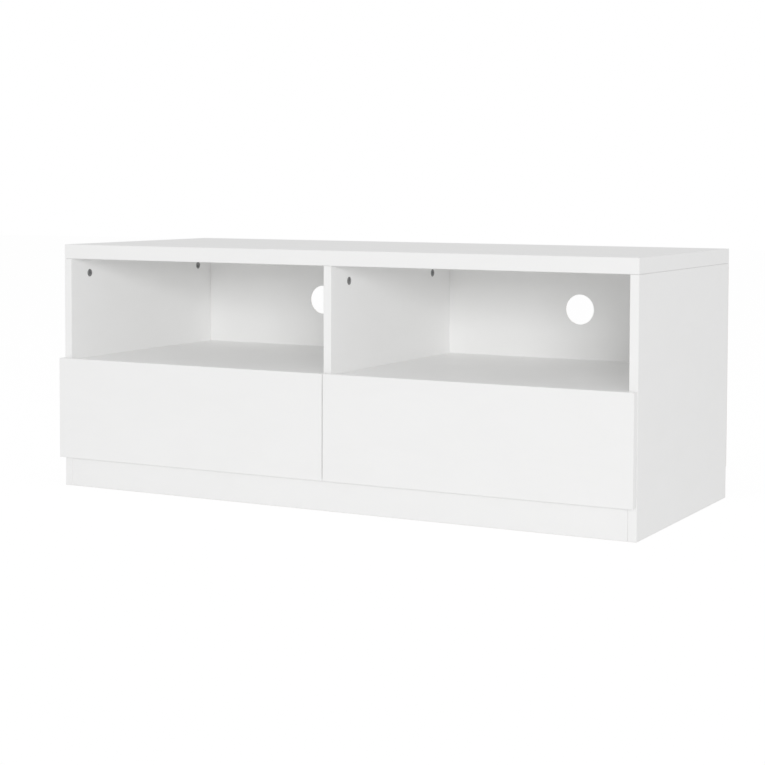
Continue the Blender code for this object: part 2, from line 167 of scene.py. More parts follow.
def softEdges(piece, width, steps=2, angle=40):
    useModifier(
        piece, "BEVEL", width=width, segments=steps, limit_method="ANGLE", angle_limit=turn(angle)
    )


# smooth on rounds, flat on flats
def smooth(piece, angle=35):
    pick(piece)
    bpy.ops.object.shade_smooth_by_angle(angle=turn(angle))
    useModifier(piece, "WEIGHTED_NORMAL", keep_sharp=True)


def softSmooth(piece, width, steps=2):
    softEdges(piece, width, steps)
    smooth(piece)
    return piece


# a copy with its own mesh, turned and then moved into place
def placeCopy(source, name, spot, turned=(0, 0, 0), order="XYZ"):
    pick(source)
    bpy.ops.object.duplicate()
    copy = bpy.context.active_object
    copy.name = name
    copy.rotation_mode = order
    copy.rotation_euler = turned
    copy.location = spot
    settle(copy)
    copy.rotation_mode = "XYZ"
    return copy


def finishPiece(piece, finish, body, slotName, *nodes):
    piece.data.materials.clear()
    piece.data.materials.append(finish)
    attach(piece, body)
    if nodes:
        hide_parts(*nodes)
    return piece


# gives an input its value, or joins it to the output the value comes from
def feed(tree, socket, value):
    if isinstance(value, bpy.types.NodeSocket):
        tree.links.new(value, socket)
    else:
        socket.default_value = value


def addNode(tree, kind, spot, values=None, **settings):
    made = tree.nodes.new("ShaderNode" + kind)
    made.location = spot
    for key, value in settings.items():
        setattr(made, key, value)
    for key, value in (values or {}).items():
        feed(tree, made.inputs[key], value)
    return made


# the inputs' values give their kinds; an output called Color is one
def newGroup(name, inputs, outputs):
    group = bpy.data.node_groups.new(name, "ShaderNodeTree")
    for label, value in inputs.items():
        kind = "NodeSocketVector" if isinstance(value, tuple) else "NodeSocketFloat"
        socket = group.interface.new_socket(label, in_out="INPUT", socket_type=kind)
        socket.default_value = value
    for label in outputs:
        kind = "NodeSocketColor" if label == "Color" else "NodeSocketFloat"
        group.interface.new_socket(label, in_out="OUTPUT", socket_type=kind)
    given, end = group.nodes.new("NodeGroupInput"), group.nodes.new("NodeGroupOutput")
    given.location, end.location = (-1100, 0), (500, 0)
    return group, given.outputs, end


def giveOut(group, end, **results):
    for label, value in results.items():
        feed(group, end.inputs[label], value)
    return group


def math2(tree, operation, a, b, spot, clamp=False):
    values = {0: a} if b is None else {0: a, 1: b}
    return addNode(tree, "Math", spot, values, operation=operation, use_clamp=clamp).outputs[0]


def vectorMath(tree, operation, a, b, spot):
    values = {0: a} if b is None else {0: a, 1: b}
    return addNode(tree, "VectorMath", spot, values, operation=operation).outputs[0]


def mixColour(tree, factor, a, b, spot):
    return addNode(tree, "Mix", spot, {0: factor, 6: a, 7: b}, data_type="RGBA").outputs[2]


def spread(tree, value, lowIn, highIn, lowOut, highOut, spot):
    values = {"Value": value, "From Min": lowIn, "From Max": highIn}
    values |= {"To Min": lowOut, "To Max": highOut}
    return addNode(tree, "MapRange", spot, values).outputs["Result"]


def objectPlace(tree, spot):
    return addNode(tree, "TexCoord", spot).outputs["Object"]


def axes(tree, value, spot):
    return addNode(tree, "SeparateXYZ", spot, {0: value}).outputs


def addNoise(tree, spot, place, scale, detail, roughness=0.5, distortion=0.0):
    values = {"Vector": place, "Scale": scale, "Detail": detail}
    values |= {"Roughness": roughness, "Distortion": distortion}
    return addNode(tree, "TexNoise", spot, values).outputs


def addCells(tree, spot, place, scale):
    return addNode(tree, "TexVoronoi", spot, {"Vector": place, "Scale": scale}).outputs


# fine waves and grain of a pressed or moulded skin, as a height
def makeRipple():
    inputs = {"Wave": 300.0, "Grain": 1600.0, "Share": 0.4}
    group, given, end = newGroup("skinRipple", inputs, ["Height"])
    place = objectPlace(group, (-1100, -300))
    wave = addNoise(group, (-700, 100), place, given["Wave"], 2.0)
    grain = addNoise(group, (-700, -200), place, given["Grain"], 3.0, 0.6)
    values = {0: given["Share"], 2: wave["Fac"], 3: grain["Fac"]}
    mix = addNode(group, "Mix", (-300, 0), values, data_type="FLOAT")
    return giveOut(group, end, Height=mix.outputs[0])


# faint marks of handling: broad wiped clouds and a few specks of dust
def makeHandling():
    inputs = {"Cloud": 7.0, "Speck": 260.0}
    group, given, end = newGroup("handlingMarks", inputs, ["Wiped", "Dust"])
    place = objectPlace(group, (-1100, -300))
    values = {"Vector": place, "Scale": (1.0, 1.0, 2.6)}
    drawn = addNode(group, "Mapping", (-900, 200), values).outputs["Vector"]
    cloud = addNoise(group, (-700, 200), drawn, given["Cloud"], 5.0, 0.62, 0.6)
    wiped = spread(group, cloud["Fac"], 0.35, 0.70, 0.0, 1.0, (-400, 200))
    cells = addCells(group, (-700, -100), place, given["Speck"])
    dots = spread(group, cells["Distance"], 0.05, 0.12, 1.0, 0.0, (-400, -100))
    gate = addNoise(group, (-700, -400), place, 38.0, 1.0)
    few = spread(group, gate["Fac"], 0.60, 0.72, 0.0, 1.0, (-400, -400))
    dust = math2(group, "MULTIPLY", dots, few, (-100, -200), True)
    return giveOut(group, end, Wiped=wiped, Dust=dust)


# distance to the nearest edge of a board: the middle one of the three distances to its faces
def makeBoardEdge():
    inputs = {"Centre": (0, 0, 0), "Half": (1, 1, 1), "Band": 0.0010}
    group, given, end = newGroup("boardEdge", inputs, ["Joint", "Rubbed", "Foot"])
    place = objectPlace(group, (-1300, -300))
    off = vectorMath(group, "SUBTRACT", place, given["Centre"], (-1100, -300))
    size = vectorMath(group, "ABSOLUTE", off, None, (-900, -300))
    left = vectorMath(group, "SUBTRACT", given["Half"], size, (-700, -300))
    x, y, z = axes(group, left, (-500, -300))
    least = math2(group, "MINIMUM", x, y, (-300, -200))
    most = math2(group, "MAXIMUM", x, y, (-300, -350))
    near = math2(group, "MINIMUM", most, z, (-150, -350))
    edge = math2(group, "MAXIMUM", least, near, (0, -250))
    line = math2(group, "SUBTRACT", edge, given["Band"], (150, -100))
    line = math2(group, "ABSOLUTE", line, None, (250, -100))
    joint = spread(group, line, 0.00006, 0.00016, 1.0, 0.0, (350, -100))
    noise = addNoise(group, (-300, 200), place, 55.0, 4.0, 0.65)
    patchy = spread(group, noise["Fac"], 0.45, 0.75, 0.0, 1.0, (-100, 200))
    close = spread(group, edge, 0.0, 0.0016, 1.0, 0.0, (150, 100))
    rubbed = math2(group, "MULTIPLY", patchy, close, (300, 150), True)
    drop, tall = axes(group, off, (-500, -600)), axes(group, given["Half"], (-500, -750))
    height = math2(group, "ADD", drop[2], tall[2], (-300, -650))
    foot = spread(group, height, 0.0, 0.10, 1.0, 0.0, (-100, -650))
    return giveOut(group, end, Joint=joint, Rubbed=rubbed, Foot=foot)


# raw chipboard: pressed flakes of different woods
def makeChips():
    group, given, end = newGroup("rawChips", {"Size": 420.0}, ["Color", "Height"])
    place = objectPlace(group, (-1100, -300))
    bend = addNoise(group, (-900, -300), place, 90.0, 2.0)
    values = {0: 0.01, 4: place, 5: bend["Color"]}
    shove = addNode(group, "Mix", (-700, -300), values, data_type="VECTOR")
    cells = addCells(group, (-500, 0), shove.outputs[1], given["Size"])
    tones = addNode(group, "ValToRGB", (-200, 100), {"Fac": cells["Color"]})
    ramp = tones.color_ramp
    ramp.elements[0].color = (0.26, 0.16, 0.085, 1)
    ramp.elements[1].color = (0.62, 0.47, 0.30, 1)
    ramp.elements.new(0.45).color = (0.45, 0.31, 0.18, 1)
    return giveOut(group, end, Color=tones.outputs["Color"], Height=cells["Distance"])


# pressed brown hardboard, with its felted fibres
def makeFibres():
    group, given, end = newGroup("hardboardFibres", {"Fibre": 700.0}, ["Color", "Height"])
    place = objectPlace(group, (-1100, 0))
    felt = addNoise(group, (-800, 100), place, given["Fibre"], 6.0, 0.7, 1.2)
    patch = addNoise(group, (-800, -200), place, 24.0, 4.0)
    both = math2(group, "ADD", felt["Fac"], patch["Fac"], (-500, 0))
    both = math2(group, "MULTIPLY", both, 0.5, (-350, 0))
    tones = addNode(group, "ValToRGB", (-200, 0), {"Fac": both})
    ramp = tones.color_ramp
    ramp.elements[0].position, ramp.elements[1].position = 0.30, 0.72
    ramp.elements[0].color = (0.235, 0.135, 0.068, 1)
    ramp.elements[1].color = (0.40, 0.255, 0.14, 1)
    return giveOut(group, end, Color=tones.outputs["Color"], Height=felt["Fac"])


# drawn or ground metal: streaks along one way, with patchy plating
def makeStreaks():
    inputs = {"Stretch": (400, 3000, 3000), "Patch": 120.0}
    group, given, end = newGroup("metalStreaks", inputs, ["Streak", "Cloudy"])
    place = objectPlace(group, (-1100, 0))
    pull = vectorMath(group, "MULTIPLY", place, given["Stretch"], (-850, 100))
    streak = addNoise(group, (-600, 100), pull, 1.0, 3.0)
    cloud = addNoise(group, (-600, -200), place, given["Patch"], 3.0, 0.6)
    return giveOut(group, end, Streak=streak["Fac"], Cloudy=cloud["Fac"])


ripple, handling, boardEdge = makeRipple(), makeHandling(), makeBoardEdge()
rawChips, fibres, streaks = makeChips(), makeFibres(), makeStreaks()


def useGroup(tree, group, spot, values=None):
    return addNode(tree, "Group", spot, values, node_tree=group).outputs


def newMaterial(name):
    material = bpy.data.materials.new(name)
    material.use_nodes = True
    tree = material.node_tree
    return material, tree, tree.nodes["Principled BSDF"]


def finishShader(tree, shader, colour, gloss, height, distance):
    values = {"Strength": 1.0, "Distance": distance, "Height": height}
    bump = addNode(tree, "Bump", (-300, -400), values).outputs["Normal"]
    for label, value in (("Base Color", colour), ("Roughness", gloss), ("Normal", bump)):
        feed(tree, shader.inputs[label], value)


melamine = {
    "white": (0.912, 0.912, 0.908, 1),
    "cloudy": (0.896, 0.896, 0.891, 1),
    "glueLine": (0.70, 0.69, 0.67, 1),
    "rubbed": (0.80, 0.795, 0.78, 1),
    "dust": (0.72, 0.70, 0.66, 1),
    "satin": 0.36,
    "wipedSatin": 0.46,
    "bandThick": 0.0010,
    "rippleHeight": 0.000012,
}


# white melamine skin of one board; rawBelow and rawBehind give the height and the depth
# past which it is bare chipboard
def whiteMelamine(name, low, high, rawBelow=None, rawBehind=None):
    material, tree, shader = newMaterial(name)
    centre, half = (low + high) / 2, (high - low) / 2
    sizes = {"Centre": centre, "Half": half, "Band": melamine["bandThick"]}
    edge = useGroup(tree, boardEdge, (-1200, 300), sizes)
    marks = useGroup(tree, handling, (-1200, 0))
    skin = useGroup(tree, ripple, (-1200, -300), {"Wave": 210.0, "Grain": 1500.0, "Share": 0.35})
    wiped = marks["Wiped"]
    colour = mixColour(tree, wiped, melamine["white"], melamine["cloudy"], (-900, 300))
    thin = math2(tree, "MULTIPLY", edge["Rubbed"], 0.5, (-900, 100))
    colour = mixColour(tree, thin, colour, melamine["rubbed"], (-700, 300))
    thin = math2(tree, "MULTIPLY", edge["Joint"], 0.35, (-900, -50))
    colour = mixColour(tree, thin, colour, melamine["glueLine"], (-500, 300))
    thin = math2(tree, "MULTIPLY", marks["Dust"], edge["Foot"], (-900, -150))
    thin = math2(tree, "MULTIPLY", thin, 0.35, (-750, -150))
    colour = mixColour(tree, thin, colour, melamine["dust"], (-300, 300))
    satin = melamine["satin"], melamine["wipedSatin"]
    gloss = spread(tree, wiped, 0.0, 1.0, *satin, (-700, 0))
    height = skin["Height"]
    if rawBelow is not None or rawBehind is not None:
        parts = axes(tree, objectPlace(tree, (-1500, -600)), (-1300, -600))
        bare = None
        if rawBelow is not None:
            bare = math2(tree, "LESS_THAN", parts[2], rawBelow, (-1100, -600))
        if rawBehind is not None:
            back = math2(tree, "GREATER_THAN", parts[1], rawBehind, (-1100, -750))
            bare = back if bare is None else math2(tree, "MAXIMUM", bare, back, (-950, -650))
        chips = useGroup(tree, rawChips, (-1100, -900))
        colour = mixColour(tree, bare, colour, chips["Color"], (-150, 300))
        dull = math2(tree, "MULTIPLY", bare, 0.5, (-600, -500))
        gloss = math2(tree, "ADD", gloss, dull, (-450, 0), True)
        rough = math2(tree, "MULTIPLY", bare, chips["Height"], (-600, -700))
        rough = math2(tree, "MULTIPLY", rough, 12.0, (-450, -700))
        height = math2(tree, "ADD", height, rough, (-450, -400))
    finishShader(tree, shader, colour, gloss, height, melamine["rippleHeight"])
    return material


backSkin = {
    "white": (0.905, 0.905, 0.900, 1),
    "cloudy": (0.888, 0.888, 0.882, 1),
    "matt": 0.5,
    "bareMatt": 0.72,
    "bareDepth": 0.0011,
    "fibreHeight": 0.00008,
}


# thin hardboard: white paper on its front and its cut edges, bare brown behind
def backBoard(name, high):
    material, tree, shader = newMaterial(name)
    marks = useGroup(tree, handling, (-1200, 0), {"Cloud": 5.0})
    skin = useGroup(tree, ripple, (-1200, -300), {"Wave": 160.0, "Grain": 900.0, "Share": 0.5})
    brown = useGroup(tree, fibres, (-1200, -600))
    depth = axes(tree, objectPlace(tree, (-1500, 300)), (-1300, 300))[1]
    behind = math2(tree, "GREATER_THAN", depth, high.y - backSkin["bareDepth"], (-1100, 300))
    wiped = marks["Wiped"]
    colour = mixColour(tree, wiped, backSkin["white"], backSkin["cloudy"], (-800, 300))
    colour = mixColour(tree, behind, colour, brown["Color"], (-600, 300))
    gloss = spread(tree, behind, 0.0, 1.0, backSkin["matt"], backSkin["bareMatt"], (-800, 0))
    wipe = math2(tree, "MULTIPLY", wiped, 0.08, (-800, -150))
    gloss = math2(tree, "ADD", gloss, wipe, (-500, 0))
    felt = math2(tree, "MULTIPLY", behind, brown["Height"], (-800, -600))
    paper = math2(tree, "MULTIPLY", skin["Height"], 0.2, (-800, -400))
    height = math2(tree, "ADD", felt, paper, (-600, -400))
    finishShader(tree, shader, colour, gloss, height, backSkin["fibreHeight"])
    return material


metals = {
    "darkZinc": {
        "light": (0.30, 0.30, 0.305, 1),
        "dark": (0.15, 0.15, 0.155, 1),
        "gloss": (0.42, 0.62),
        "stretch": (1600, 1600, 1600),
        "grain": 0.00006,
    },
    "platedSteel": {
        "light": (0.70, 0.71, 0.73, 1),
        "dark": (0.52, 0.52, 0.53, 1),
        "gloss": (0.22, 0.42),
        "stretch": (300, 4200, 4200),
        "grain": 0.00001,
    },
    "nickel": {
        "light": (0.74, 0.72, 0.69, 1),
        "dark": (0.60, 0.585, 0.56, 1),
        "gloss": (0.16, 0.34),
        "stretch": (350, 2600, 2600),
        "grain": 0.00001,
    },
    "wireSteel": {
        "light": (0.66, 0.66, 0.67, 1),
        "dark": (0.46, 0.46, 0.47, 1),
        "gloss": (0.30, 0.50),
        "stretch": (900, 900, 900),
        "grain": 0.00002,
    },
}


def metalFinish(name):
    look = metals[name]
    material, tree, shader = newMaterial(name)
    drawn = useGroup(tree, streaks, (-900, 0), {"Stretch": look["stretch"]})
    shade = math2(tree, "ADD", drawn["Streak"], drawn["Cloudy"], (-700, 100))
    shade = spread(tree, shade, 0.75, 1.25, 0.0, 1.0, (-550, 100))
    colour = mixColour(tree, shade, look["light"], look["dark"], (-300, 200))
    gloss = spread(tree, drawn["Cloudy"], 0.3, 0.7, *look["gloss"], (-550, -100))
    shader.inputs["Metallic"].default_value = 1.0
    finishShader(tree, shader, colour, gloss, drawn["Streak"], look["grain"])
    return material


plastics = {
    "greyPlastic": {
        "plain": (0.30, 0.31, 0.33, 1),
        "worn": (0.36, 0.37, 0.39, 1),
        "gloss": (0.42, 0.58),
        "grain": 0.00002,
    },
    "whitePlastic": {
        "plain": (0.82, 0.82, 0.80, 1),
        "worn": (0.76, 0.76, 0.74, 1),
        "gloss": (0.38, 0.52),
        "grain": 0.00002,
    },
}


def plasticFinish(name):
    look = plastics[name]
    material, tree, shader = newMaterial(name)
    marks = useGroup(tree, handling, (-900, 0), {"Cloud": 60.0, "Speck": 900.0})
    skin = useGroup(tree, ripple, (-900, -300), {"Wave": 900.0, "Grain": 5000.0, "Share": 0.6})
    colour = mixColour(tree, marks["Wiped"], look["plain"], look["worn"], (-500, 200))
    gloss = spread(tree, marks["Wiped"], 0.0, 1.0, *look["gloss"], (-500, -50))
    finishShader(tree, shader, colour, gloss, skin["Height"], look["grain"])
    return material


darkZinc, plated, nickel, wireSteel = [metalFinish(name) for name in metals]
greyPlastic, whitePlastic = [plasticFinish(name) for name in plastics]
print("finishes ready")


board = {
    "round": 0.0008,
    "roundSteps": 3,
    "pocketPlay": 0.0003,
    "boltBore": 0.0039,
    "threadBore": 0.0028,
    "mortise": 0.0178,
    "mortiseDeep": 0.0127,
    "rawDepth": 0.00025,
    "boardHalf": 0.008,
}
cams = {
    "radius": 0.0075,
    "labels": [
        f"{upright}_{row}" for upright in ("left", "divider", "right") for row in ("front", "rear")
    ],
}
uprightOf = {"left": "side_panel_left", "divider": "divider_panel", "right": "side_panel_right"}


# where each cam stands: its open face, its middle and the way into its board
def camPlace(label):
    low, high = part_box(f"cam_lock_{label}")
    boltLow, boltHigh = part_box(f"cam_bolt_{label}")
    into = 1 if label.startswith("right") else -1
    face = low.x if into > 0 else high.x
    middle = (low + high) / 2
    return Vector((face, middle.y, middle.z)), into, (boltLow + boltHigh) / 2, high.x - low.x


def makeBoard(name, body, cuts=(), rawBelow=False, rawBehind=False):
    low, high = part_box(name)
    piece = addBox(low, high, f"{name}_shown")
    roundAll(piece, board["round"], board["roundSteps"])
    if cuts:
        combine(piece, joinAll(list(cuts), "cut"))
    smooth(piece)
    finish = whiteMelamine(
        f"melamine_{name}",
        low,
        high,
        low.z + board["rawDepth"] if rawBelow else None,
        high.y - board["rawDepth"] if rawBehind else None,
    )
    return finishPiece(piece, finish, body, "white_board", name)


def camCuts(upright):
    cuts = []
    for label in cams["labels"]:
        if uprightOf[label.split("_")[0]] != upright:
            continue
        face, into, bolt, deep = camPlace(label)
        deep += board["pocketPlay"] + 0.001
        middle = face + Vector((into * (deep / 2 - 0.001), 0, 0))
        cuts.append(addRod("X", middle, cams["radius"] + board["pocketPlay"], deep))
    return cuts


def boltCuts(low, high, radius, uprights):
    cuts = []
    for label in cams["labels"]:
        if uprightOf[label.split("_")[0]] in uprights:
            bolt = camPlace(label)[2]
            spot = (bolt.x, bolt.y, (low + high) / 2)
            cuts.append(addRod("Z", spot, radius, high - low, steps=24))
    return cuts


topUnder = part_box("top_panel")[0].z
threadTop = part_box("cam_bolt_left_front")[1].z + board["pocketPlay"]
threads = boltCuts(topUnder - 0.001, threadTop, board["threadBore"], uprightOf.values())
makeBoard("top_panel", "carcass", threads)
for upright in uprightOf.values():
    # each bore runs from the board's top down into its pocket, so they become one cut
    camZ = camPlace("left_front")[0].z
    pockets = joinAll(camCuts(upright), "pockets")
    bores = boltCuts(camZ + 0.004, topUnder + 0.001, board["boltBore"], [upright])
    bores = joinAll(bores, "bores")
    combine(pockets, bores, "UNION")
    isSide = upright.startswith("side")
    makeBoard(upright, "carcass", [pockets], rawBelow=isSide, rawBehind=isSide)
for name in ("shelf_left", "shelf_right", "bottom_panel"):
    makeBoard(name, "carcass")
for name in ("plinth_front", "plinth_rear", "plinth_brace"):
    makeBoard(name, "carcass", rawBelow=True)
for label, side in sides:
    mortises = []
    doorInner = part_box(f"door_{label}")[1].y
    for place in ("inner", "outer"):
        low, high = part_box(f"hinge_cup_{label}_{place}")
        centre = (low + high) / 2
        deep = board["mortiseDeep"]
        spot = (centre.x, doorInner - deep / 2 + 0.0005, centre.z)
        mortises.append(addRod("Y", spot, board["mortise"], deep + 0.001, steps=64))
    makeBoard(f"door_{label}", f"door_{label}", mortises)
print("boards made")


backPanel = {
    "round": 0.0003,
    "hole": 0.030,
    "holeRound": 0.0003,
    "dimple": 0.0026,
    "dimpleDeep": 0.0006,
    "nail": 0.0021,
    "nailTall": 0.0005,
    "nailHeights": (0.115, 0.170, 0.300, 0.355, 0.425),
    "nailShares": (0.02, 0.26, 0.50, 0.74, 0.98),
    "fromDivider": 0.0045,
}


# nails go into the side, the divider, the shelf and the bottom panel behind each back panel
def nailSpots(label, side):
    low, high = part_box(f"back_panel_{label}")
    shelf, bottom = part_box(f"shelf_{label}"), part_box("bottom_panel")
    shelfZ, bottomZ = (shelf[0].z + shelf[1].z) / 2, (bottom[0].z + bottom[1].z) / 2
    wall = side * ((high.x if side > 0 else -low.x) - board["boardHalf"])
    middle = side * backPanel["fromDivider"]
    spots = [(x, z) for x in (wall, middle) for z in backPanel["nailHeights"]]
    reach = wall - middle
    for z in (shelfZ, bottomZ):
        spots += [(middle + reach * share, z) for share in backPanel["nailShares"]]
    return spots


def makeBack(label, side):
    name = f"back_panel_{label}"
    low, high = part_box(name)
    piece = addBox(low, high, f"{name}_shown")
    roundAll(piece, backPanel["round"], 2)
    shelfTop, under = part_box(f"shelf_{label}")[1].z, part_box("top_panel")[0].z
    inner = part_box("divider_panel")[1].x
    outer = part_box("side_panel_right")[0].x
    middle = (side * (inner + outer) / 2, (low.y + high.y) / 2, (shelfTop + under) / 2)
    combine(piece, addRod("Y", middle, backPanel["hole"], 0.01, steps=96))

    def onRim(a, b):
        reach = [math.hypot(p.x - middle[0], p.z - middle[2]) - backPanel["hole"] for p in (a, b)]
        return all(abs(off) < 0.0002 for off in reach) and abs(a.y - b.y) < 0.0001

    editEdges(piece, onRim)
    bpy.ops.mesh.bevel(offset=backPanel["holeRound"], segments=2, affect="EDGES")
    spots = nailSpots(label, side)
    deep = backPanel["dimpleDeep"]
    tools = [
        addRod("Y", (x, high.y - deep / 2 + 0.001, z), backPanel["dimple"], deep + 0.002, steps=20)
        for x, z in spots
    ]
    combine(piece, joinAll(tools, "dimples"))
    smooth(piece)
    finishPiece(piece, backBoard(f"back_{label}", high), "carcass", "white_back", name)

    tall = backPanel["nailTall"]
    nail = addRod("Y", (0, -tall / 2, 0), backPanel["nail"], tall, "nail", steps=20)
    editFaces(nail, lambda centre, normal: normal.y > 0.9)
    inset(0.0005)
    inset(0.0008, -0.0001)
    softEdges(nail, 0.00012, 2)
    copies = [placeCopy(nail, "nail", (x, high.y - 0.00005, z)) for x, z in spots]
    discard(nail)
    nails = joinAll(copies, f"back_nails_{label}")
    smooth(nails)
    finishPiece(nails, plated, "carcass", "bright_steel")


for label, side in sides:
    makeBack(label, side)
print("backs and nails made")


camLock = {
    "rim": 0.0007,
    "rimSlope": 0.0002,
    "dish": 0.0003,
    "ring": 0.0012,
    "hub": 0.0002,
    "arm": 0.0046,
    "slotWide": 0.0026,
    "slotDeep": 0.0032,
    "boltSlot": 0.0032,
    "boltStart": 0.0045,
    "boltEnd": 0.0085,
    "arrow": 0.0009,
    "arrowUp": 0.0061,
    "soft": 0.00015,
}


# a tapered cross that cuts a screwdriver recess downwards from the origin
def crossTool(arm, wide, deep, axis="Z"):
    blades = []
    for x, y in ((arm, wide / 2), (wide / 2, arm)):
        blade = addBox((-x, -y, -deep), (x, y, 0.002), "blade")
        editFaces(blade, lambda centre, normal: normal.z < -0.9)
        bpy.ops.transform.resize(value=(0.72, 0.72, 1))
        deselectAll()
        blades.append(blade)
    combine(blades[0], blades[1], "UNION")
    if axis == "X":
        blades[0].rotation_euler = (0, turn(90), 0)
        settle(blades[0])
    return blades[0]


def modelCam(deep):
    cam = addRod("X", (-deep / 2, 0, 0), cams["radius"], deep, "cam", steps=64)
    editFaces(cam, lambda centre, normal: normal.x > 0.9)
    inset(camLock["rim"])
    inset(camLock["rimSlope"], -camLock["dish"])
    inset(camLock["ring"])
    inset(camLock["rimSlope"], camLock["hub"])
    deselectAll()
    combine(cam, crossTool(camLock["arm"], camLock["slotWide"], camLock["slotDeep"], "X"))
    deselectAll()
    # a small arrow towards the bolt's side
    bpy.ops.mesh.primitive_cone_add(
        vertices=3,
        radius1=camLock["arrow"],
        radius2=camLock["arrow"],
        depth=0.002,
        location=(0.0005, 0, camLock["arrowUp"]),
        rotation=turns["X"],
    )
    arrow = bpy.context.active_object
    settle(arrow)
    combine(cam, arrow)
    half, middle = camLock["boltSlot"], -board["boardHalf"]
    low = (middle - half, -half, camLock["boltStart"])
    combine(cam, addBox(low, (middle + half, half, camLock["boltEnd"])))
    return softSmooth(cam, camLock["soft"], 2)


cam = modelCam(camPlace("left_front")[3])
for label in cams["labels"]:
    face, into, bolt, deep = camPlace(label)
    piece = placeCopy(cam, f"cam_lock_{label}_shown", face, (0, 0, turn(180) if into > 0 else 0))
    finishPiece(piece, darkZinc, "carcass", "dark_zinc", f"cam_lock_{label}")
    # the bolt's shape is right as it is: it only gets its plated finish
    node = frame["nodes"][f"cam_bolt_{label}"]
    for spot in node.material_slots:
        spot.material = plated
discard(cam)
print("cam locks made")


screw = {
    "big": 0.0032,
    "small": 0.0021,
    "rimTall": 0.0004,
    "dome": 0.0006,
    "crossArm": 0.56,
    "crossWide": 0.00075,
    "crossDeep": 0.0008,
    "soft": 0.00008,
    "softAngle": 50,
}


# a pan-head screw seen from above, seated at the origin and facing up
def modelScrew(radius):
    rim, dome = screw["rimTall"], screw["dome"]
    head = addRod("Z", (0, 0, rim / 2), radius, rim, "screw", steps=32)
    editFaces(head, lambda centre, normal: normal.z > 0.9)
    for inward, upward in ((0.16, 0.5), (0.22, 0.35), (0.26, 0.15)):
        inset(radius * inward, dome * upward)
    deselectAll()
    tool = crossTool(radius * screw["crossArm"], screw["crossWide"], screw["crossDeep"])
    tool.location.z = rim + dome
    settle(tool)
    # the tool's straight upper part is long enough to leave the head
    combine(head, tool)
    softEdges(head, screw["soft"], 1, screw["softAngle"])
    smooth(head, screw["softAngle"])
    return head


# how a screw facing up is turned to face another way
facing = {
    "+X": (0, turn(90), 0),
    "-X": (0, turn(-90), 0),
    "+Y": (turn(-90), 0, 0),
    "+Z": (0, 0, 0),
    "-Z": (turn(180), 0, 0),
}


def addScrews(name, body, source, way, spots):
    copies = [placeCopy(source, "screw", spot, facing[way]) for spot in spots]
    screws = joinAll(copies, name) if len(copies) > 1 else copies[0]
    screws.name = name
    return finishPiece(screws, plated, body, "bright_steel")


bigScrew, smallScrew = modelScrew(screw["big"]), modelScrew(screw["small"])
print("screws modelled")


hinge = {
    "cup": 0.0175,
    "hollow": 0.016,
    "floorThick": 0.0015,
    "flangeThick": 0.001,
    "flangeCorner": 0.0045,
    "pinHole": 0.0012,
    "armThick": 0.002,
    "armEye": 0.0022,
    "bend": 0.0018,
    "screwOut": 0.0215,
    "mountScrewOut": 0.0100,
    "mountCorner": 0.004,
    "waist": 0.0195,
    "waistOut": 0.0165,
    "fixingAt": 0.034,
    "flangeHalf": 0.010,
    "tipCorner": 0.0028,
    "slot": ((-0.0014, 0.0135), (0.0014, 0.0225)),
    "slotCorner": 0.00135,
    "cupSoft": 0.00035,
    "soft": 0.0003,
    "mountSoft": 0.0004,
}


# rounds the edges that run along one axis, or those of them that the test likes
def roundCorners(piece, axis, offset, steps, likes=lambda a, b: True):
    keep = [n for n in (0, 1, 2) if n != axis]

    def runsAlong(a, b):
        level = all(abs(a[n] - b[n]) < 0.00001 for n in keep)
        return level and abs(a[axis] - b[axis]) > 0.0001 and likes(a, b)

    editEdges(piece, runsAlong)
    bpy.ops.mesh.bevel(offset=offset, segments=steps, affect="EDGES")
    deselectAll()


# everything of a hinge is modelled round its pin, at the origin, and copied to the four places
axis = Vector(joints["door_left_hinge"]["pos_m"])
firstX = sum(corner.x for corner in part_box("hinge_pin_left_inner")) / 2
pinAt = Vector((firstX, axis.y, axis.z))


def nearPin(node):
    low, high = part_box(node)
    return low - pinAt, high - pinAt


def modelCup():
    low, high = nearPin("hinge_cup_left_inner")
    middle = (low + high) / 2
    cup = addRod("Y", (0, middle.y, middle.z), hinge["cup"], high.y - low.y, "cup", steps=64)
    wing = hinge["flangeHalf"]
    start = (low.x, high.y - hinge["flangeThick"], middle.z - wing)
    flange = addBox(start, (high.x, high.y, middle.z + wing))
    roundCorners(flange, 1, hinge["flangeCorner"], 5)
    combine(cup, flange, "UNION")
    floor = low.y + hinge["floorThick"]
    combine(cup, addRod("Y", (0, floor + 0.010, middle.z), hinge["hollow"], 0.020, steps=64))
    combine(cup, addRod("X", (0, 0, 0), hinge["pinHole"], 2 * hinge["cup"], steps=20))
    return softSmooth(cup, hinge["cupSoft"], 2)


def modelPin():
    low, high = nearPin("hinge_pin_left_inner")
    pin = addRod("X", (0, 0, 0), high.z, high.x - low.x, "pin", steps=24)
    editFaces(pin, lambda centre, normal: abs(normal.x) > 0.9)
    inset(0.0003)
    deselectAll()
    return softSmooth(pin, hinge["soft"], 3)


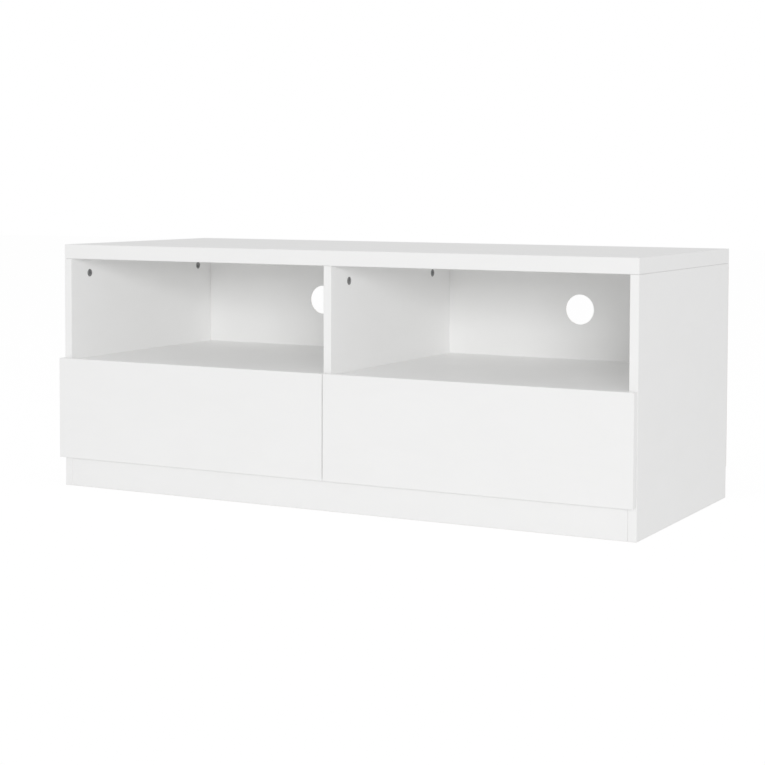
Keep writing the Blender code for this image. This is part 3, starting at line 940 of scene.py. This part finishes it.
def modelArm():
    low, high = nearPin("hinge_arm_left_inner")
    half, thick = high.x, hinge["armThick"]
    under = high.z - thick
    arm = addBox((-half, -thick / 2, under), (half, thick / 2, high.z), "arm")
    editFaces(arm, lambda centre, normal: normal.y > 0.9)
    extrude((0, high.y - thick / 2, 0))
    editFaces(arm, lambda centre, normal: normal.z < -0.9 and centre.y < thick / 2)
    extrude((0, 0, -under))
    deselectAll()
    roundCorners(arm, 0, hinge["bend"], 5, lambda a, b: a.y < 0 and a.z > under + thick / 2)
    roundCorners(arm, 2, hinge["tipCorner"], 5, lambda a, b: a.y > high.y - 0.001)
    combine(arm, addRod("X", (0, 0, 0), hinge["armEye"], 2 * half, steps=32), "UNION")
    combine(arm, addRod("X", (0, 0, 0), hinge["pinHole"], 0.02, steps=20))
    start, end = hinge["slot"]
    slotHole = addBox((*start, under - 0.002), (*end, high.z + 0.002))
    roundCorners(slotHole, 2, hinge["slotCorner"], 4)
    combine(arm, slotHole)
    return softSmooth(arm, hinge["soft"], 2)


def modelMount():
    low, high = nearPin("hinge_mount_left_inner")
    mount = addBox(low, high, "mount")
    roundCorners(mount, 2, hinge["mountCorner"], 5)
    # waisted like a pressed plate: its middle is cut back on both sides
    for way in (-1, 1):
        beside = (way * (high.x + hinge["waistOut"]), (low.y + high.y) / 2, (low.z + high.z) / 2)
        combine(mount, addRod("Z", beside, hinge["waist"], 0.01, steps=96))
    return softSmooth(mount, hinge["mountSoft"], 2)


hingeParts = {"cup": modelCup(), "pin": modelPin(), "arm": modelArm(), "mount": modelMount()}
for label, side in sides:
    for place in ("inner", "outer"):
        name = f"{label}_{place}"
        spot = Vector((sum(corner.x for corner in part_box(f"hinge_pin_{name}")) / 2, axis.y, axis.z))
        door = f"door_{label}"
        rides = {"cup": door, "pin": door, "arm": "carcass", "mount": "carcass"}
        shown = {
            part: placeCopy(source, f"hinge_{part}_{name}_shown", spot)
            for part, source in hingeParts.items()
        }
        for part, body in rides.items():
            look = (wireSteel, "bright_steel") if part == "pin" else (nickel, "nickel")
            finishPiece(shown[part], look[0], body, look[1], f"hinge_{part}_{name}")
        low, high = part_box(f"hinge_cup_{name}")
        out = hinge["screwOut"]
        spots = [(spot.x + way * out, high.y, (low.z + high.z) / 2) for way in (-1, 1)]
        addScrews(f"cup_screws_{name}", door, bigScrew, "+Y", spots)
        low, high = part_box(f"hinge_mount_{name}")
        out = hinge["mountScrewOut"]
        spots = [(spot.x + way * out, (low.y + high.y) / 2, high.z) for way in (-1, 1)]
        addScrews(f"mount_screws_{name}", "carcass", bigScrew, "+Z", spots)
        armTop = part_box(f"hinge_arm_{name}")[1].z
        spots = [(spot.x, spot.y + hinge["fixingAt"], armTop)]
        addScrews(f"fixing_screw_{name}", "carcass", bigScrew, "+Z", spots)
discard(*hingeParts.values())
print("hinges made")


stay = {
    "rod": 0.0025,
    "eye": 0.005,
    "eyeThick": 0.003,
    "eyeHole": 0.0022,
    "knob": 0.004,
    "knobLong": 0.004,
    "guide": 0.014,
    "guideRound": 0.0012,
    "bore": 0.0028,
    "mouth": 0.0042,
    "pivot": 0.0025,
    "plateThick": 0.002,
    "plateCorner": 0.003,
    "pin": 0.002,
    "pinIn": -0.0025,
    "pinEnd": 0.001,
    "gap": 0.0003,
    "baseScrewOut": 0.0095,
    "bracketScrewAt": (0.0085, 0.007),
    "rodSoft": 0.0004,
    "guideSoft": 0.0002,
    "plateSoft": 0.0003,
    "tabRound": 0.0095,
    "foldRound": 0.0014,
    "pinRing": (0.0030, 0.0008),
}


# rod and guide are modelled level, along Y, with the rod's eye and the guide's middle at the origin
def modelRod(reach):
    stop = reach + stay["guide"] / 2 + stay["gap"]
    end = stop + stay["knobLong"]
    start = stay["eye"] * 0.7
    into = stop + 0.002
    rod = addRod("Y", (0, (start + into) / 2, 0), stay["rod"], into - start, "rod", steps=32)
    combine(rod, addRod("X", (0, 0, 0), stay["eye"], stay["eyeThick"], steps=40), "UNION")
    combine(rod, addRod("Y", (0, (stop + end) / 2, 0), stay["knob"], end - stop, steps=40), "UNION")
    combine(rod, addRod("X", (0, 0, 0), stay["eyeHole"], 0.01, steps=32))
    return softSmooth(rod, stay["rodSoft"], 3)


def modelGuide():
    half = stay["guide"] / 2
    guide = addBox((-half, -half, -half), (half, half, half), "guide")
    roundAll(guide, stay["guideRound"], 3)
    combine(guide, addRod("Y", (0, 0, 0), stay["bore"], 0.02, steps=32))
    for way in (-1, 1):
        combine(guide, addRod("Y", (0, way * (half + 0.0042), 0), stay["mouth"], 0.010, steps=40))
    # a pivot socket on the board's side and a moulding mark on the other
    combine(guide, addRod("X", (half, 0, 0), stay["pivot"] + 0.0002, 0.0066, steps=32))
    combine(guide, addRod("X", (-half, 0, 0), 0.0030, 0.0006, steps=32))
    return softSmooth(guide, stay["guideSoft"], 2)


# for the right-hand side; half a turn about Y gives the left-hand one
def modelBase():
    low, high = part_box("stay_base_right")
    centre = Vector(joints["stay_guide_right_swivel"]["pos_m"])
    low, high = low - centre, high - centre
    plate = addBox((high.x - stay["plateThick"], low.y, low.z), high, "base")
    roundCorners(plate, 0, stay["plateCorner"], 5)
    end = high.x - stay["pinEnd"]
    pivot = addRod("X", ((low.x + end) / 2, 0, 0), stay["pivot"], end - low.x, steps=32)
    combine(plate, pivot, "UNION")
    return softSmooth(plate, stay["plateSoft"], 2)


def modelBracket():
    low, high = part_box("stay_bracket_right")
    centre = Vector(joints["stay_rod_right_pivot"]["pos_m"])
    low, high = low - centre, high - centre
    thick = stay["plateThick"]
    bracket = addBox(low, (high.x, low.y + thick, high.z), "bracket")
    editFaces(bracket, lambda c, n: True)
    bpy.ops.mesh.bisect(plane_co=(high.x - thick, 0, 0), plane_no=(1, 0, 0))
    editFaces(bracket, lambda c, n: n.y > 0.9 and c.x > high.x - thick)
    extrude((0, high.y - low.y - thick, 0))
    deselectAll()
    roundCorners(bracket, 0, stay["tabRound"], 8, lambda a, b: a.y > high.y - 0.0001)
    roundCorners(bracket, 1, stay["plateCorner"], 4, lambda a, b: a.x < low.x + 0.0001)
    fold = lambda a, b: a.x > high.x - 0.0001 and a.y < low.y + 0.0001
    roundCorners(bracket, 2, stay["foldRound"], 4, fold)
    inside, outside = stay["pinIn"], high.x - stay["pinEnd"]
    pin = addRod("X", ((inside + outside) / 2, 0, 0), stay["pin"], outside - inside, steps=32)
    combine(bracket, pin, "UNION")
    radius, wide = stay["pinRing"]
    combine(bracket, addRod("X", (inside + wide / 2, 0, 0), radius, wide, steps=32), "UNION")
    return softSmooth(bracket, stay["plateSoft"], 2)


hingeAt = Vector(joints["door_right_hinge"]["pos_m"])
eyeAt = Vector(joints["stay_rod_right_pivot"]["pos_m"])
guideAt = Vector(joints["stay_guide_right_swivel"]["pos_m"])
eyeArm, guideArm = eyeAt - hingeAt, guideAt - hingeAt
swing = math.hypot(eyeArm.y, eyeArm.z)
apart = math.atan2(eyeArm.z, eyeArm.y) - math.atan2(guideArm.z, guideArm.y)
# how far apart eye and guide are with the door open; the rod has to be that long
openReach = 2 * swing * math.sin((apart + turn(90)) / 2)
tilt = math.atan2(guideAt.z - eyeAt.z, guideAt.y - eyeAt.y)
stayParts = {
    "rod": modelRod(openReach),
    "guide": modelGuide(),
    "base": modelBase(),
    "bracket": modelBracket(),
}
for label, side in sides:
    flip = 0 if side > 0 else turn(180)
    eye = Vector(joints[f"stay_rod_{label}_pivot"]["pos_m"])
    guide = Vector(joints[f"stay_guide_{label}_swivel"]["pos_m"])
    piece = placeCopy(stayParts["rod"], f"stay_rod_{label}_shown", eye, (tilt, 0, 0))
    finishPiece(piece, plated, f"stay_rod_{label}", "bright_steel", f"stay_rod_{label}")
    leant = (tilt, 0, flip)
    piece = placeCopy(stayParts["guide"], f"stay_guide_{label}_shown", guide, leant, "ZYX")
    finishPiece(piece, greyPlastic, f"stay_guide_{label}", "grey_plastic", f"stay_guide_{label}")
    piece = placeCopy(stayParts["base"], f"stay_base_{label}_shown", guide, (0, flip, 0))
    finishPiece(piece, nickel, "carcass", "nickel", f"stay_base_{label}")
    piece = placeCopy(stayParts["bracket"], f"stay_bracket_{label}_shown", eye, (0, flip, 0))
    finishPiece(piece, nickel, f"door_{label}", "nickel", f"stay_bracket_{label}")
    low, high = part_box(f"stay_base_{label}")
    wall = (high.x - stay["plateThick"]) if side > 0 else (low.x + stay["plateThick"])
    out, way = stay["baseScrewOut"], "-X" if side > 0 else "+X"
    spots = [(wall, guide.y + step * out, guide.z + step * out) for step in (-1, 1)]
    addScrews(f"base_screws_{label}", "carcass", smallScrew, way, spots)
    low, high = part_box(f"stay_bracket_{label}")
    across, up = stay["bracketScrewAt"]
    y = low.y + stay["plateThick"]
    spots = [(eye.x - side * across, y, eye.z + step * up) for step in (-1, 1)]
    addScrews(f"bracket_screws_{label}", f"door_{label}", smallScrew, "+Y", spots)
discard(*stayParts.values())
print("stays made")


latch = {
    "bore": 0.0033,
    "boreLong": 0.034,
    "mouth": 0.0042,
    "mouthDeep": 0.0012,
    "screwBack": 0.041,
    "screwSink": (0.0040, 0.0032),
    "grooves": 4,
    "groove": 0.0004,
    "grooveWide": 0.0012,
    "groovePitch": 0.003,
    "strike": 0.008,
    "strikeSink": (0.0026, 0.0018),
    "round": 0.0008,
    "housingSoft": 0.0002,
    "soft": 0.0003,
    "screwSeat": 0.00115,
}


def makeLatch(label):
    name = f"latch_housing_{label}"
    low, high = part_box(name)
    middle = (low + high) / 2
    housing = addBox(low, high, f"{name}_shown")
    roundAll(housing, latch["round"], 3)
    spot = (middle.x, low.y + latch["boreLong"] / 2 - 0.001, middle.z)
    combine(housing, addRod("Y", spot, latch["bore"], latch["boreLong"] + 0.002, steps=40))
    spot = (middle.x, low.y, middle.z)
    combine(housing, addRod("Y", spot, latch["mouth"], latch["mouthDeep"], steps=40))
    # grip grooves on both cheeks and a counterbore for the fixing screw below
    for way in (-1, 1):
        cheek = middle.x + way * (high.x - low.x) / 2
        for step in range(latch["grooves"]):
            y = low.y + 0.008 + step * latch["groovePitch"]
            start = (cheek - latch["groove"], y, low.z + 0.002)
            end = (cheek + latch["groove"], y + latch["grooveWide"], high.z - 0.002)
            combine(housing, addBox(start, end))
    radius, deep = latch["screwSink"]
    back = low.y + latch["screwBack"]
    combine(housing, addRod("Z", (middle.x, back, low.z), radius, deep, steps=40))
    softSmooth(housing, latch["housingSoft"], 1)
    finishPiece(housing, whitePlastic, "carcass", "white_plastic", name)
    spots = [(middle.x, back, low.z + deep / 2)]
    addScrews(f"latch_screw_{label}", "carcass", bigScrew, "-Z", spots)

    name = f"latch_plunger_{label}"
    low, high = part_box(name)
    middle = (low + high) / 2
    plunger = addRod("Y", middle, (high.z - low.z) / 2, high.y - low.y, f"{name}_shown", steps=40)
    editFaces(plunger, lambda centre, normal: normal.y < -0.9)
    inset(0.0006)
    inset(0.0002, -0.0004)
    deselectAll()
    softSmooth(plunger, latch["soft"], 3)
    finishPiece(plunger, greyPlastic, name, "grey_plastic", name)

    name = f"latch_strike_{label}"
    low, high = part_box(name)
    middle = (low + high) / 2
    strike = addRod("Y", middle, latch["strike"], high.y - low.y, f"{name}_shown", steps=64)
    radius, deep = latch["strikeSink"]
    combine(strike, addRod("Y", (middle.x, high.y, middle.z), radius, deep, steps=32))
    softSmooth(strike, latch["soft"], 3)
    finishPiece(strike, plated, f"door_{label}", "bright_steel", name)
    spots = [(middle.x, high.y - latch["screwSeat"], middle.z)]
    addScrews(f"strike_screw_{label}", f"door_{label}", smallScrew, "+Y", spots)


for label, side in sides:
    makeLatch(label)
discard(bigScrew, smallScrew)
print("latches made")


studio = {
    "skyLevel": 0.575,
    "floorSize": 26.0,
    "floorSeen": 0.93,
    "floorFaint": (0.10, 0.10, 0.10, 1),
    "floorTone": (0.86, 0.86, 0.86, 1),
    "bounces": 10,
    "gamma": 1.4,
}


# one shader for what the camera sees and another for the light
def showAndLight(tree, light, shown, out):
    seen = addNode(tree, "LightPath", (-150, 300)).outputs["Is Camera Ray"]
    values = {0: seen, 1: light.outputs[0], 2: shown.outputs[0]}
    mix = addNode(tree, "MixShader", (250, 0), values)
    feed(tree, out.inputs["Surface"], mix.outputs[0])


def makeFloor():
    deselectAll()
    bpy.ops.mesh.primitive_plane_add(size=studio["floorSize"], location=(0, 0, -0.0005))
    floor = bpy.context.active_object
    floor.name = "floor"
    settle(floor)
    material, tree, shader = newMaterial("paleFloor")
    tree.nodes.remove(shader)
    out = tree.nodes["Material Output"]
    bright = addNode(tree, "Emission", (-600, 0), {"Strength": studio["floorSeen"]})
    faint = addNode(tree, "BsdfDiffuse", (-600, -150), {"Color": studio["floorFaint"]})
    values = {0: bright.outputs[0], 1: faint.outputs[0]}
    both = addNode(tree, "AddShader", (-400, -50), values)
    paper = addNode(tree, "BsdfDiffuse", (-400, -250), {"Color": studio["floorTone"]})
    showAndLight(tree, paper, both, out)
    floor.data.materials.append(material)


def makeSky():
    world = bpy.data.worlds.new("studioSky")
    bpy.context.scene.world = world
    world.use_nodes = True
    tree = world.node_tree
    out = tree.nodes["World Output"]
    soft = tree.nodes["Background"]
    soft.inputs["Color"].default_value = (1, 1, 1, 1)
    soft.inputs["Strength"].default_value = studio["skyLevel"]
    white = addNode(tree, "Background", (0, -200), {"Color": (1, 1, 1, 1), "Strength": 1.0})
    showAndLight(tree, soft, white, out)


# softboxes: wide, tall, power, distance, degrees to the right, degrees up
softboxes = {
    "keyLight": (4.6, 2.4, 700.0, 14.0, 31.0, 10.0),
    "topLight": (3.0, 2.0, 9.0, 3.0, 0.0, 88.0),
}


def makeSoftbox(name, wide, tall, power, away, around, up):
    around, up = turn(around), turn(up)
    way = Vector((math.sin(around) * math.cos(up), -math.cos(around) * math.cos(up), math.sin(up)))
    data = bpy.data.lights.new(name, "AREA")
    data.shape = "RECTANGLE"
    data.size, data.size_y = wide, tall
    data.energy = power
    lamp = bpy.data.objects.new(name, data)
    bpy.context.scene.collection.objects.link(lamp)
    lamp.location = way * away + Vector((0, 0, 0.24))
    lamp.rotation_euler = way.to_track_quat("Z", "Y").to_euler()
    lamp.visible_camera = False


view = {
    "place": (1.6262, -3.0812, 0.6033),
    "yaw": 28.023,
    "pitch": -3.0,
    "roll": 0.178,
    "lens": 84.36,
    "shift": (0.0, -0.1379),
}


def makeCamera():
    data = bpy.data.cameras.new("camera")
    data.lens = view["lens"]
    data.sensor_width = 36
    data.shift_x, data.shift_y = view["shift"]
    data.clip_start, data.clip_end = 0.05, 60
    camera = bpy.data.objects.new("camera", data)
    bpy.context.scene.collection.objects.link(camera)
    camera.location = view["place"]
    level = Euler((turn(90 + view["pitch"]), 0, turn(view["yaw"]))).to_matrix()
    camera.rotation_euler = (level @ Matrix.Rotation(turn(view["roll"]), 3, "Z")).to_euler()
    bpy.context.scene.camera = camera
    # whites stay white with soft shades, and the white boards light each other
    bpy.context.scene.view_settings.view_transform = "Standard"
    bpy.context.scene.view_settings.gamma = studio["gamma"]
    bpy.context.scene.cycles.diffuse_bounces = studio["bounces"]


makeFloor()
makeSky()
for name, values in softboxes.items():
    makeSoftbox(name, *values)
makeCamera()
print("studio ready")
